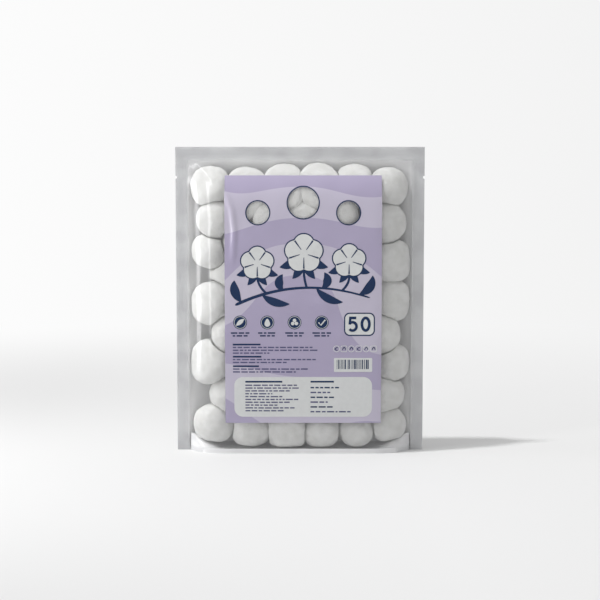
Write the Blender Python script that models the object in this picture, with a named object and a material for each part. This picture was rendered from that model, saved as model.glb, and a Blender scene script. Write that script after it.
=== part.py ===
"""A sealed stand-up pouch with a clear front, holding fifty cotton balls, with a label on its front.

The pouch stands on the floor at z = 0 and faces -Y, with its origin under the middle of its base.
Two film panels, a clear one in front and a white one behind, are sealed together along both sides
and across the top, and a gusset of the white film opens between them to make the base. The balls
are let sink inside it until they rest on one another and on the film. Lengths are in metres.
"""

import math

import bmesh
import bpy
import numpy as np
from mathutils import Euler
from mathutils.bvhtree import BVHTree

# The pouch
POUCH_WIDTH = 0.203
POUCH_HEIGHT = 0.250
SIDE_SEAL = 0.0098
TOP_SEAL = 0.0107
BASE_DEPTH = 0.034
BELLY_DEPTH = 0.042
SIDE_RUN = 0.038
TOP_RUN = 0.044
FILM = 0.00015
CLEARANCE = 0.0003

# The base gusset
SKIRT_HEIGHT = 0.004
BASE_HEIGHT = 0.0012
GUSSET_SLACK = 0.0006
GUSSET_MARGIN = 0.0015

# The tear notches
NOTCH_RADIUS = 0.0013
NOTCH_DROP = 0.0247

# The label, set in from the seals and up from the floor
LABEL_LEFT_MARGIN = 0.0310
LABEL_RIGHT_MARGIN = 0.0259
LABEL_TOP_MARGIN = 0.0128
LABEL_BOTTOM = 0.0260
LABEL_THICKNESS = 0.00012
LARGE_WINDOW_RADIUS = 0.0125
SMALL_WINDOW_RADIUS = 0.0092
LARGE_WINDOW_DROP = 0.0215
SMALL_WINDOW_DROP = 0.0295
WINDOW_SPACING = 0.0365

# The cotton balls
BALL_DIAMETER = 0.0335
BALL_VARIATION = 0.12
FIRM_SHARE = 0.93
BALL_SWELL = 1.2
PRESS_SHARPNESS = 16
BALL_ROWS = 9
BALLS_IN_LONG_ROW = 6
BALL_LUMPS = 0.02
LUMP_WAVES = (1.5, 3.0)
BALL_SEED = 11

# How the balls settle
SINK_STEP = 0.0003
SINK_STEPS = 240
REST_STEPS = 80
PUSHES_A_STEP = 3
PUSH_SHARE = 0.4
START_DEPTH_SHARE = 0.4
START_JITTER = 0.006

# The finishes, each as its colour, roughness and alpha
CLEAR_FILM = ((0.86, 0.87, 0.88), 0.18, 0.28)
WHITE_FILM = ((0.70, 0.70, 0.71), 0.32, 1.0)
LABEL_PRINT = ((0.49, 0.45, 0.60), 0.35, 1.0)
COTTON = ((0.86, 0.86, 0.85), 0.95, 1.0)

# How finely the surfaces are divided
FILM_PITCH = 0.0095
SHOULDER_PITCH = 0.0061
ARCH_STEPS = 8
BALL_SEGMENTS = 12
BALL_RINGS = 8
CUTTER_SEGMENTS = 32

OPEN_HALF = POUCH_WIDTH / 2 - SIDE_SEAL
OPEN_TOP = POUCH_HEIGHT - TOP_SEAL
LABEL_LEFT = -OPEN_HALF + LABEL_LEFT_MARGIN
LABEL_RIGHT = OPEN_HALF - LABEL_RIGHT_MARGIN
LABEL_TOP = OPEN_TOP - LABEL_TOP_MARGIN
ON_LINE = 1e-9


def clear_scene():
    for obj in list(bpy.data.objects):
        bpy.data.objects.remove(obj)


def material(name, colour, roughness, alpha):
    made = bpy.data.materials.new(name)
    made.use_nodes = True
    shader = made.node_tree.nodes["Principled BSDF"]
    shader.inputs["Base Color"].default_value = (*colour, 1.0)
    shader.inputs["Roughness"].default_value = roughness
    shader.inputs["Metallic"].default_value = 0.0
    shader.inputs["Alpha"].default_value = alpha
    made.diffuse_color = (*colour, alpha)
    return made


def grid_lines(marks, label_low, label_high):
    """Lines through every mark, with even steps between two marks, finer outside the label."""
    lines = [marks[0]]
    for low, high in zip(marks, marks[1:]):
        behind_label = label_low <= low and high <= label_high
        pitch = FILM_PITCH if behind_label else SHOULDER_PITCH
        steps = max(1, math.ceil((high - low) / pitch))
        lines.extend(low + (high - low) * step / steps for step in range(1, steps + 1))
    return np.array(lines)


def swing(distance, run):
    """How far film has swung open at a distance from its seal: 0 at the seal, 1 after the run."""
    return 1 - np.clip(1 - distance / run, 0, 1) ** 3


def half_depth(x, z):
    """Half the pouch's inside depth: the belly, less where the film closes on a seal."""
    belly = BASE_DEPTH + (BELLY_DEPTH - BASE_DEPTH) * np.sin(np.pi * np.clip(z / OPEN_TOP, 0, 1))
    closing = swing(OPEN_HALF - np.abs(x), SIDE_RUN) * swing(OPEN_TOP - z, TOP_RUN)
    return CLEARANCE / 2 + belly / 2 * closing


def panel_points(x_lines, z_lines, side):
    """The panel's inner face as a grid of points; side is -1 for the front and 1 for the back."""
    x, z = np.meshgrid(x_lines, z_lines)
    return np.stack([x, side * half_depth(x, z), z], axis=-1)


def gusset_points(x_lines):
    """The gusset's underside: a skirt beside each panel, and between them the opened base.

    The base is folded film of one width, so that it stands higher where the panels are closer.
    """
    skirt = half_depth(x_lines, SKIRT_HEIGHT) - CLEARANCE
    foot = half_depth(x_lines, 0.0) - CLEARANCE
    folded = np.sqrt((skirt.max() + GUSSET_SLACK) ** 2 - skirt**2)
    middle = BASE_HEIGHT + folded - folded.min()
    rows = [np.stack([x_lines, -foot, np.zeros_like(foot)], axis=-1)]
    for share in np.linspace(-1, 1, ARCH_STEPS + 1):
        height = middle + (SKIRT_HEIGHT - middle) * share**2
        rows.append(np.stack([x_lines, share * skirt, height], axis=-1))
    rows.append(np.stack([x_lines, foot, np.zeros_like(foot)], axis=-1))
    return np.array(rows)


def lifted(points, distance):
    """A grid of points moved off its own surface by a distance, towards the side it faces."""
    along = np.gradient(points, axis=1)
    up = np.gradient(points, axis=0)
    normals = np.cross(along, up)
    normals /= np.linalg.norm(normals, axis=-1, keepdims=True)
    return points + distance * normals


def grid_faces(points, first=0):
    """The corner numbers of every cell in a grid of points, counted from the first."""
    rows, columns = points.shape[:2]
    faces = []
    for row in range(rows - 1):
        for column in range(columns - 1):
            corner = first + row * columns + column
            faces.append((corner, corner + 1, corner + columns + 1, corner + columns))
    return faces


def add_object(name, mesh, finish):
    mesh.shade_smooth()
    mesh.materials.append(finish)
    obj = bpy.data.objects.new(name, mesh)
    bpy.context.scene.collection.objects.link(obj)
    return obj


def sheet(name, points, thickness, finish):
    """An object of one sheet: the grid's surface, thickened towards the side that it faces."""
    mesh = bpy.data.meshes.new(name)
    mesh.from_pydata(points.reshape(-1, 3).tolist(), [], grid_faces(points))
    obj = add_object(name, mesh, finish)
    thicken = obj.modifiers.new("Film thickness", "SOLIDIFY")
    thicken.thickness = thickness
    thicken.offset = 1.0
    return obj


def cutter(name, radius, length, x, y, z):
    """A round cutter along Y, which is no part of the pouch."""
    shape = bmesh.new()
    bmesh.ops.create_cone(
        shape,
        cap_ends=True,
        segments=CUTTER_SEGMENTS,
        radius1=radius,
        radius2=radius,
        depth=length,
    )
    mesh = bpy.data.meshes.new(name)
    shape.to_mesh(mesh)
    shape.free()
    obj = bpy.data.objects.new(name, mesh)
    obj.rotation_euler = (math.pi / 2, 0, 0)
    obj.location = (x, y, z)
    obj.hide_render = True
    obj.display_type = "WIRE"
    bpy.context.scene.collection.objects.link(obj)
    return obj


def cut(obj, tool):
    boolean = obj.modifiers.new("Cut by " + tool.name, "BOOLEAN")
    boolean.operation = "DIFFERENCE"
    boolean.solver = "EXACT"
    boolean.object = tool


def film_tree(grids):
    """A search tree over the film surfaces that the balls can touch."""
    corners = []
    faces = []
    for points in grids:
        faces.extend(grid_faces(points, len(corners)))
        corners.extend(points.reshape(-1, 3).tolist())
    return BVHTree.FromPolygons(corners, faces)


def ball_starts(chance):
    """Rows of balls from the bottom up, each set in half a pitch from the one below it.

    Each ball is then moved by chance, so that the rows come out as loose as in a filled pouch.
    """
    margin = BALL_DIAMETER / 2
    x_reach = OPEN_HALF - margin
    z_lines = np.linspace(margin + SKIRT_HEIGHT, OPEN_TOP - margin, BALL_ROWS)
    starts = []
    for row, z in enumerate(z_lines):
        count = BALLS_IN_LONG_ROW - row % 2
        reach = x_reach * (count - 1) / (BALLS_IN_LONG_ROW - 1)
        starts.extend((x, 0.0, z) for x in np.linspace(-reach, reach, count))
    starts = np.array(starts)
    starts += START_JITTER * chance.uniform(-1, 1, starts.shape)
    depths = START_DEPTH_SHARE * half_depth(starts[:, 0], starts[:, 2])
    starts[:, 1] = depths * chance.choice((-1, 1), len(starts))
    return starts


def push_apart(centres, radii):
    """Moves each ball off the neighbours that it overlaps."""
    offsets = centres[:, None] - centres[None]
    distances = np.linalg.norm(offsets, axis=-1)
    np.fill_diagonal(distances, np.inf)
    overlaps = np.clip(radii[:, None] + radii[None] + CLEARANCE - distances, 0, None)
    moves = offsets * (overlaps / distances)[..., None]
    return centres + PUSH_SHARE * moves.sum(axis=1)


def push_off_film(centres, radii, film):
    """Moves each ball off the nearest point of the film, where it is too near."""
    moved = centres.copy()
    for index, centre in enumerate(centres):
        touch, _, _, reach = film.find_nearest(centre)
        overlap = radii[index] + FILM + CLEARANCE - reach
        if overlap > 0:
            moved[index] += (centre - np.array(touch)) * (overlap / reach)
    return moved


def settle(centres, radii, film, steps, sink):
    """Lets the balls sink less and less, and pushes them out of each other and the film."""
    for step in range(steps):
        centres = centres - (0, 0, sink * (1 - step / steps))
        for _ in range(PUSHES_A_STEP):
            centres = push_apart(centres, radii)
            centres = push_off_film(centres, radii, film)
    return centres


def flat_spots(index, centres, radii, gusset):
    """From a ball's centre, the middles of the flat spots that its neighbours and the base press.

    A neighbour's spot lies between the two centres, and its plane keeps the two balls apart.
    """
    offsets = np.delete(centres, index, axis=0) - centres[index]
    distances = np.linalg.norm(offsets, axis=1)
    shares = radii[index] / (radii[index] + np.delete(radii, index))
    beside = offsets * (shares - CLEARANCE / 2 / distances)[:, None]
    touch, _, _, reach = gusset.find_nearest(centres[index])
    below = (np.array(touch) - centres[index]) * (1 - (FILM + CLEARANCE) / reach)
    return np.vstack([beside, below])


def room_beside(spots, direction):
    """How far a ball reaches in a direction before it meets the plane of a flat spot."""
    facing = spots @ direction
    meets = facing > ON_LINE
    return ((spots[meets] ** 2).sum(axis=1) / facing[meets]).min(initial=np.inf)


def room_to_film(centre, film, direction):
    """How far a ball reaches in a direction before it lies a clearance off the film."""
    _, normal, _, reach = film.ray_cast(centre, direction)
    if normal is None:
        return np.inf
    return reach - (FILM + CLEARANCE) / max(abs(normal.dot(direction)), ON_LINE)


def cotton_ball(name, centre, radius, spots, film, chance, finish):
    """A ball with shallow lumps, pressed flat where it meets its neighbours and the film.

    A ball that is squeezed flat there swells elsewhere, into the hollows between its neighbours.
    """
    shape = bmesh.new()
    bmesh.ops.create_uvsphere(shape, u_segments=BALL_SEGMENTS, v_segments=BALL_RINGS, radius=1)
    turn = Euler(chance.uniform(0, 2 * math.pi, 3))
    waves = chance.uniform(*LUMP_WAVES, (3, 3))
    phases = chance.uniform(0, 2 * math.pi, 3)
    for vertex in shape.verts:
        vertex.co.rotate(turn)
        direction = vertex.co.normalized()
        beside = room_beside(spots, np.array(direction))
        rooms = np.array((BALL_SWELL * radius, beside, room_to_film(centre, film, direction)))
        pressed = (rooms**-PRESS_SHARPNESS).sum() ** (-1 / PRESS_SHARPNESS)
        lump = np.sin(waves @ np.array(direction) + phases).mean()
        vertex.co = direction * (pressed * (1 - BALL_LUMPS * (1 - lump) / 2))
    mesh = bpy.data.meshes.new(name)
    shape.to_mesh(mesh)
    shape.free()
    obj = add_object(name, mesh, finish)
    obj.location = centre


def build_film(x_lines, z_lines, clear, white):
    """The two panels, each with a tear notch at both sides, and the gusset between them."""
    front = sheet("front_film", panel_points(x_lines, z_lines, -1), FILM, clear)
    back = sheet("back_film", panel_points(x_lines, z_lines, 1)[:, ::-1], FILM, white)
    for side, name in ((-1, "left"), (1, "right")):
        edge = side * POUCH_WIDTH / 2
        notch_height = POUCH_HEIGHT - NOTCH_DROP
        notch = cutter(name + "_notch_cutter", NOTCH_RADIUS, BELLY_DEPTH, edge, 0, notch_height)
        cut(front, notch)
        cut(back, notch)
    inside = x_lines[np.abs(x_lines) < OPEN_HALF - GUSSET_MARGIN / 2]
    sheet("base_gusset", gusset_points(inside), FILM, white)


def build_label(x_lines, z_lines, finish):
    """The label, lying on the front panel's outer face, with its three round windows."""
    columns = (x_lines >= LABEL_LEFT - ON_LINE) & (x_lines <= LABEL_RIGHT + ON_LINE)
    rows = (z_lines >= LABEL_BOTTOM - ON_LINE) & (z_lines <= LABEL_TOP + ON_LINE)
    face = lifted(panel_points(x_lines, z_lines, -1), FILM + CLEARANCE)
    label = sheet("front_label", face[rows][:, columns], LABEL_THICKNESS, finish)
    middle = (LABEL_LEFT + LABEL_RIGHT) / 2
    windows = (
        ("left", -WINDOW_SPACING, SMALL_WINDOW_DROP, SMALL_WINDOW_RADIUS),
        ("middle", 0.0, LARGE_WINDOW_DROP, LARGE_WINDOW_RADIUS),
        ("right", WINDOW_SPACING, SMALL_WINDOW_DROP, SMALL_WINDOW_RADIUS),
    )
    for name, offset, drop, radius in windows:
        tool = cutter(
            name + "_window_cutter",
            radius,
            BELLY_DEPTH,
            middle + offset,
            -BELLY_DEPTH / 2,
            LABEL_TOP - drop,
        )
        cut(label, tool)


def build_balls(x_lines, z_lines, finish):
    """The fifty balls, sunk into the pouch and pressed against one another and the film.

    They are numbered row by row from the bottom up, and from left to right in a row.
    """
    chance = np.random.default_rng(BALL_SEED)
    inside = x_lines[np.abs(x_lines) < OPEN_HALF]
    front = panel_points(x_lines, z_lines, -1)
    back = panel_points(x_lines, z_lines, 1)
    base = gusset_points(inside)
    film = film_tree([front, back, base])
    gusset = film_tree([base])
    centres = ball_starts(chance)
    spread = chance.uniform(1 - BALL_VARIATION, 1 + BALL_VARIATION, len(centres))
    radii = BALL_DIAMETER / 2 * spread
    centres = settle(centres, FIRM_SHARE * radii, film, SINK_STEPS, SINK_STEP)
    centres = settle(centres, FIRM_SHARE * radii, film, REST_STEPS, 0.0)
    for index in range(len(centres)):
        name = f"cotton_ball_{index + 1:02d}"
        spots = flat_spots(index, centres, radii, gusset)
        cotton_ball(name, centres[index], radii[index], spots, film, chance, finish)


def build():
    clear_scene()
    clear_finish = material("clear_film", *CLEAR_FILM)
    white_finish = material("white_film", *WHITE_FILM)
    label_finish = material("label_print", *LABEL_PRINT)
    cotton_finish = material("cotton", *COTTON)
    gusset_edge = OPEN_HALF - GUSSET_MARGIN
    x_marks = (
        -POUCH_WIDTH / 2,
        -OPEN_HALF,
        -gusset_edge,
        LABEL_LEFT,
        LABEL_RIGHT,
        gusset_edge,
        OPEN_HALF,
        POUCH_WIDTH / 2,
    )
    z_marks = (0.0, SKIRT_HEIGHT, LABEL_BOTTOM, LABEL_TOP, OPEN_TOP, POUCH_HEIGHT)
    x_lines = grid_lines(x_marks, LABEL_LEFT, LABEL_RIGHT)
    z_lines = grid_lines(z_marks, LABEL_BOTTOM, LABEL_TOP)
    build_film(x_lines, z_lines, clear_finish, white_finish)
    build_label(x_lines, z_lines, label_finish)
    build_balls(x_lines, z_lines, cotton_finish)


build()
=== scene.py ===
# %% [markdown]
# # A stand-up pouch of cotton balls
#
# The real thing is a sealed pouch that stands on its own folded base, with a clear film in front and a
# white one behind. Fifty cotton balls press against the film from inside, and a printed label is stuck
# to the front. The solids arrive at their real size, so this script only gives each one the surface
# that the eye sees. Every surface is a formula worked out on a grid of points with numpy, which keeps
# the film, the label and the print on one and the same curve.

import bpy
import numpy as np
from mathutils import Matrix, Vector


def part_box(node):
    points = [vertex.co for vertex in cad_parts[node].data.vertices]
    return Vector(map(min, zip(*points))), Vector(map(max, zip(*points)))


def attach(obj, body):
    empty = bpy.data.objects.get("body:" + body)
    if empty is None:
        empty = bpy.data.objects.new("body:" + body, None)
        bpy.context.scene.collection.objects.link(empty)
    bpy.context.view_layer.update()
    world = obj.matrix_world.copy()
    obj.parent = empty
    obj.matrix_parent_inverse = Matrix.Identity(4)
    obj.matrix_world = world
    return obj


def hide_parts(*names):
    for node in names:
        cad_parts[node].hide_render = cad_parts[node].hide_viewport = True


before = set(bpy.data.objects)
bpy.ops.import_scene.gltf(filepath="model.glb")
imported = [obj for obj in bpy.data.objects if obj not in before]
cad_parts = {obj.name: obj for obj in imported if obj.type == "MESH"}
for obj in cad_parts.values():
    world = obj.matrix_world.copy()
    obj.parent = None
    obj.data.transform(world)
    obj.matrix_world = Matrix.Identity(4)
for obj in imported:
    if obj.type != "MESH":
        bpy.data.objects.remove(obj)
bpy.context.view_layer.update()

MM = 0.001

# %% [markdown]
# ## The camera
#
# The photo looks a little down on the pouch from straight in front. A long lens keeps the sides of the
# pouch nearly upright, and the camera aims at the middle of the pouch.

# %% Place the camera
LENS_MM = 86.5
CAMERA_DISTANCE = 1.185
CAMERA_PITCH = np.radians(6.0)
AIM_HEIGHT = 0.1248


def placed(name, data):
    """A new object in the scene, at the origin, for a camera, a lamp or a mesh."""
    thing = bpy.data.objects.new(name, data)
    bpy.context.scene.collection.objects.link(thing)
    return thing


def add_camera():
    """A camera in front of the pouch, raised by the pitch and turned down by the same angle."""
    data = bpy.data.cameras.new("camera")
    data.lens = LENS_MM
    camera = placed("camera", data)
    back = CAMERA_DISTANCE * np.cos(CAMERA_PITCH)
    up = CAMERA_DISTANCE * np.sin(CAMERA_PITCH)
    camera.location = (0.0, -back, AIM_HEIGHT + up)
    camera.rotation_euler = (np.pi / 2 - CAMERA_PITCH, 0.0, 0.0)
    bpy.context.scene.camera = camera
    return camera


camera = add_camera()
print("the camera stands at", tuple(round(value, 3) for value in camera.location))

# %% [markdown]
# ## Colours and shaders
#
# Colours are written as they read on a screen, from 0 to 255, and turned into the linear light that a
# shader works with. Each small helper adds one kind of node and gives back its result, so that a finish
# below can be read as a list of what feeds what. Textures read the place on the object.

# %% Helpers for materials
# A wave texture at scale 1 repeats after this many metres, so scale is this over the pitch
WAVE_TURN = 2 * np.pi / 20


def screen_colour(red, green, blue):
    """Linear colour from screen values: below 4% it is a straight line, and above that a power curve."""
    share = np.array([red, green, blue]) / 255
    linear = np.where(share <= 0.04045, share / 12.92, ((share + 0.055) / 1.055) ** 2.4)
    return (*linear.tolist(), 1.0)


def add_node(tree, kind, inputs=None, **settings):
    """A node with its settings; each input is a value, or an output socket to link from."""
    node = tree.nodes.new("ShaderNode" + kind)
    for key, value in settings.items():
        setattr(node, key, value)
    for key, value in (inputs or {}).items():
        if isinstance(value, bpy.types.NodeSocket):
            tree.links.new(value, node.inputs[key])
        else:
            node.inputs[key].default_value = value
    return node


def calc(tree, operation, *values):
    """The result of one operation on some values."""
    return add_node(tree, "Math", dict(enumerate(values)), operation=operation).outputs[0]


def span(tree, value, start, end, low=0.0, high=1.0, **settings):
    """A value carried from one range to another: start gives low and end gives high, and no further."""
    inputs = {0: value, 1: start, 2: end, 3: low, 4: high}
    return add_node(tree, "MapRange", inputs, **settings).outputs[0]


def ramp(tree, factor, stops):
    """The colour that a factor picks between two stops, each a position and a colour."""
    node = add_node(tree, "ValToRGB", {"Fac": factor})
    elements = node.color_ramp.elements
    for element, (position, colour) in zip(elements, stops):
        element.position = position
        element.color = colour
    return node.outputs[0]


def noise(tree, scale, detail, distortion=0.0):
    """Soft noise of some scale over the object."""
    place = add_node(tree, "TexCoord").outputs["Object"]
    inputs = {"Vector": place, "Scale": scale, "Detail": detail, "Distortion": distortion}
    return add_node(tree, "TexNoise", inputs).outputs["Fac"]


def bands(tree, pitch, direction, distortion=0.0, bend_scale=1.0):
    """Even bands over the object in one direction, bent by a distortion."""
    place = add_node(tree, "TexCoord").outputs["Object"]
    inputs = {"Vector": place, "Scale": WAVE_TURN / pitch, "Distortion": distortion}
    bends = {"Detail": 0.0, "Detail Scale": bend_scale}
    return add_node(tree, "TexWave", {**inputs, **bends}, bands_direction=direction).outputs["Fac"]


def bump(tree, height, strength, distance, over=None):
    """The normal that a height gives, over another bump's normal if there is one."""
    inputs = {"Height": height, "Strength": strength, "Distance": distance}
    if over is not None:
        inputs["Normal"] = over
    return add_node(tree, "Bump", inputs).outputs[0]


def shader(tree, kind, inputs):
    """A shader of one kind, with what feeds its inputs."""
    return add_node(tree, kind, inputs).outputs[0]


def mixed(tree, share, first, second):
    """Two shaders mixed: only the first at a share of 0, and only the second at 1."""
    return shader(tree, "MixShader", {0: share, 1: first, 2: second})


def add_material(name, surface):
    """A node material; surface is a function that adds its nodes to the tree and gives their shader."""
    material = bpy.data.materials.new(name)
    material.use_nodes = True
    tree = material.node_tree
    tree.nodes.clear()
    add_node(tree, "OutputMaterial", {"Surface": surface(tree)})
    return material


# %% [markdown]
# ## The studio
#
# The pouch stands on a pale seamless floor. A small sun, high on the left and a little in front, throws
# the short crisp shadow to the right. A soft lamp close by on the left makes the front brighter there,
# and a pale sky fills the rest. What the camera sees behind the pouch is only a colour, so that a white
# background never adds light to the object.

# %% Light the studio
SKY_LOW = 0.37
SKY_HIGH = 0.80
SUN_STRENGTH = 1.45
SUN_SPREAD = np.radians(4.0)
TO_SUN = np.array([-0.416, -0.139, 0.899])
# Each flat lamp is its place, what it faces, its width and height, and its power
PANEL_LAMPS = {
    "soft_lamp": ((-0.36, -0.27, 0.36), (-0.05, 0.0, 0.20), (0.06, 0.75), 0.60),
    "strip_lamp": ((-0.50, -0.02, 0.17), (0.0, 0.0, 0.15), (0.10, 0.45), 0.7),
}
# The backdrop's colour is painted shade that darkens it to the right, as light from the left falls off
BACKGROUND_LEFT = screen_colour(252, 252, 252)
BACKGROUND_RIGHT = screen_colour(243, 243, 243)
BACKGROUND_SLANT = 0.21
# The floor's colour is painted shade, darker on the left, that tones down the soft lamp's extra light there
FLOOR_LEFT = screen_colour(220, 220, 220)
FLOOR_RIGHT = screen_colour(232, 232, 232)
FLOOR_BOUNCE = screen_colour(190, 190, 190)
FLOOR_TURN = (-0.25, 0.1)
FLOOR_SIDE = 60.0
# The floor turns into the background between two distances from a point in front of the pouch
FLOOR_MIDDLE = (0.0, -0.35, 0.0)
FLOOR_FADE = (0.5, 1.25)
LEAST_AHEAD = 0.7


def add_lamp(name, kind, place, direction, **settings):
    """A lamp of one kind at a place, its -Z axis turned along a direction."""
    data = bpy.data.lights.new(name, kind)
    for key, value in settings.items():
        setattr(data, key, value)
    lamp = placed(name, data)
    lamp.location = place
    lamp.rotation_euler = Vector(direction).to_track_quat("-Z", "Y").to_euler()


def seen_directly(tree):
    """1 for the camera's rays and for those that a gloss or a clear film sends on, and 0 for others."""
    path = add_node(tree, "LightPath").outputs
    gloss = calc(tree, "MAXIMUM", path["Is Camera Ray"], path["Is Glossy Ray"])
    return calc(tree, "MAXIMUM", gloss, path["Is Transmission Ray"])


def background_colour(tree, slant):
    """Backdrop white with painted shade, darker to the right; slant is how far right a line of sight leans.
    """
    share = span(tree, slant, -BACKGROUND_SLANT, BACKGROUND_SLANT)
    return ramp(tree, share, [(0, BACKGROUND_LEFT), (1, BACKGROUND_RIGHT)])


def add_sky():
    """A pale sky: its light grows with the square of the height, from low to high overhead.

    What is seen of it, directly or in a gloss, is only the background's colour, with its painted shade.
    """
    world = bpy.data.worlds.new("studio")
    world.use_nodes = True
    tree = world.node_tree
    tree.nodes.clear()
    look = add_node(tree, "TexCoord").outputs["Generated"]
    axes = add_node(tree, "SeparateXYZ", {0: look}).outputs
    square = calc(tree, "MULTIPLY", axes["Z"], axes["Z"])
    level = span(tree, square, 0.0, 1.0, SKY_LOW, SKY_HIGH)
    light = shader(tree, "Background", {"Color": (1, 1, 1, 1), "Strength": level})
    seen = shader(tree, "Background", {"Color": background_colour(tree, axes["X"])})
    add_node(tree, "OutputWorld", {"Surface": mixed(tree, seen_directly(tree), light, seen)})
    bpy.context.scene.world = world


def floor_surface(tree):
    """A pale floor, darker on the left by painted shade, which takes the background's colour far from the
    pouch.
    """
    place = add_node(tree, "TexCoord").outputs["Object"]
    axes = add_node(tree, "SeparateXYZ", {0: place}).outputs
    away = calc(tree, "ADD", axes["Y"], CAMERA_DISTANCE)
    slant = calc(tree, "DIVIDE", axes["X"], calc(tree, "MAXIMUM", away, LEAST_AHEAD))
    seen = seen_directly(tree)
    # Painted shade: the floor's colour runs from darker on the left to lighter on the right
    tones = ramp(tree, span(tree, axes["X"], *FLOOR_TURN), [(0, FLOOR_LEFT), (1, FLOOR_RIGHT)])
    bounce = shader(tree, "BsdfDiffuse", {"Color": FLOOR_BOUNCE})
    lit = mixed(tree, seen, bounce, shader(tree, "BsdfDiffuse", {"Color": tones}))
    # Far out the floor shows the backdrop's colour, with its painted shade to the right
    glow = shader(tree, "Emission", {"Color": background_colour(tree, slant)})
    spread = add_node(tree, "VectorMath", {0: place, 1: FLOOR_MIDDLE}, operation="DISTANCE")
    far = span(tree, spread.outputs["Value"], *FLOOR_FADE, interpolation_type="SMOOTHSTEP")
    return mixed(tree, calc(tree, "MULTIPLY", far, seen), lit, glow)


def add_floor():
    """A wide flat floor, whose middle is under the pouch."""
    corners = FLOOR_SIDE / 2 * np.array([(-1, -1, 0), (1, -1, 0), (1, 1, 0), (-1, 1, 0)])
    mesh = bpy.data.meshes.new("floor")
    mesh.from_pydata(corners.tolist(), [], [(0, 1, 2, 3)])
    mesh.materials.append(add_material("studio_floor", floor_surface))
    floor = placed("floor", mesh)


add_sky()
add_floor()
add_lamp("sun", "SUN", (0, 0, 2), -TO_SUN, energy=SUN_STRENGTH, angle=SUN_SPREAD)
for name, (place, target, (width, height), power) in PANEL_LAMPS.items():
    shape = {"shape": "RECTANGLE", "size": width, "size_y": height}
    add_lamp(name, "AREA", place, np.subtract(target, place), energy=power, **shape)
bpy.context.scene.view_settings.view_transform = "Standard"

# %% [markdown]
# ## The pouch's sizes
#
# The outer sizes are read from the solids. The others are the maker's own: how wide the heat seals are,
# how deep the filled pouch is, and how far from a seal the film needs to swing fully open.

# %% Name the sizes
film_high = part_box("front_film")[1]
label_low, label_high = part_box("front_label")
HALF_WIDTH = film_high.x
HEIGHT = film_high.z
LABEL_LEFT, LABEL_RIGHT = label_low.x, label_high.x
LABEL_BOTTOM, LABEL_TOP = label_low.z, label_high.z
LABEL_MIDDLE = (LABEL_LEFT + LABEL_RIGHT) / 2
# Each window in the label is how far it is across from the middle and down from the top, and its radius
WINDOWS = [
    (-36.5 * MM, 29.5 * MM, 9.2 * MM),
    (0.0, 21.5 * MM, 12.5 * MM),
    (36.5 * MM, 29.5 * MM, 9.2 * MM),
]
SIDE_SEAL = 9.8 * MM
TOP_SEAL = 10.7 * MM
OPEN_HALF = HALF_WIDTH - SIDE_SEAL
OPEN_TOP = HEIGHT - TOP_SEAL
BASE_DEPTH = 34 * MM
BELLY_DEPTH = 42 * MM
SIDE_RUN = 38 * MM
TOP_RUN = 44 * MM
FILM = 0.15 * MM
CLEARANCE = 0.3 * MM
print("pouch", round(2 * HALF_WIDTH / MM), "by", round(HEIGHT / MM), "mm")
print("label", round((LABEL_RIGHT - LABEL_LEFT) / MM), "by", round((LABEL_TOP - LABEL_BOTTOM) / MM), "mm")

# %% [markdown]
# ## Grids into meshes
#
# A surface is an array of points with two directions, rows and columns. One helper numbers the cells of
# such a grid, and another turns points and cells into a mesh object that rides on the pouch. A tube or a
# ring is a grid whose last column joins its first.

# %% Helpers for grids
CRISP_ANGLE = np.radians(40)


def once_round(count):
    """Even angles once round a circle."""
    return np.linspace(0, 2 * np.pi, count, endpoint=False)


def way(angle):
    """The direction of an angle in a plane: its cosine and its sine."""
    return np.stack([np.cos(angle), np.sin(angle)], axis=-1)


def xyz(*axes):
    """Points from their x, y and z, each a number or an array that fits the others."""
    return np.stack(np.broadcast_arrays(*axes), axis=-1)


def unit(vectors):
    """Vectors scaled to a length of one."""
    return vectors / np.linalg.norm(vectors, axis=-1, keepdims=True)


def grid_cells(rows, columns, closed=False):
    """The four corner numbers of every cell of a grid; a closed grid joins its last column to its first."""
    row = np.arange(rows - 1)[:, None]
    column = np.arange(columns if closed else columns - 1)[None]
    beside = (column + 1) % columns
    first = row * columns + column
    second = row * columns + beside
    return np.stack([first, second, second + columns, first + columns], axis=-1).reshape(-1, 4)


def joined(parts):
    """Several (points, faces) pairs as one pair, the faces renumbered to follow on."""
    points, faces, start = [], [], 0
    for part_points, part_faces in parts:
        faces.extend([corner + start for corner in face] for face in part_faces)
        points.append(part_points.reshape(-1, 3))
        start += len(points[-1])
    return np.concatenate(points), faces


def add_piece(name, points, faces, material):
    """A mesh object of the pouch that rides on its one body and takes its finish from a slot."""
    mesh = bpy.data.meshes.new(name)
    mesh.from_pydata(points.reshape(-1, 3).tolist(), [], faces)
    mesh.shade_smooth()
    mesh.materials.append(material)
    piece = placed(name, mesh)
    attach(piece, "root")
    return piece


def settle_modifiers(piece):
    """Writes what the modifiers make into the mesh, and keeps its hard corners crisp."""
    graph = bpy.context.evaluated_depsgraph_get()
    mesh = bpy.data.meshes.new_from_object(piece.evaluated_get(graph))
    piece.modifiers.clear()
    piece.data = mesh
    mesh.set_sharp_from_angle(angle=CRISP_ANGLE)


def thicken(piece, thickness, cutters=()):
    """Gives a sheet its wall, on the side that its faces point to, and cuts the cutters out of it."""
    wall = piece.modifiers.new("wall", "SOLIDIFY")
    wall.thickness = thickness
    wall.offset = 1.0
    for cutter in cutters:
        cut = piece.modifiers.new("window", "BOOLEAN")
        cut.object = cutter
        cut.solver = "EXACT"
    settle_modifiers(piece)
    for cutter in cutters:
        bpy.data.objects.remove(cutter)


# %% [markdown]
# ## Where the balls are
#
# Each solid ball is a slightly pressed sphere. Fitting one sphere through its points gives back the
# centre and radius that it was made with, near enough to build a finer ball on the same spot.

# %% Read the balls
BALL_COUNT = 50


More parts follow.
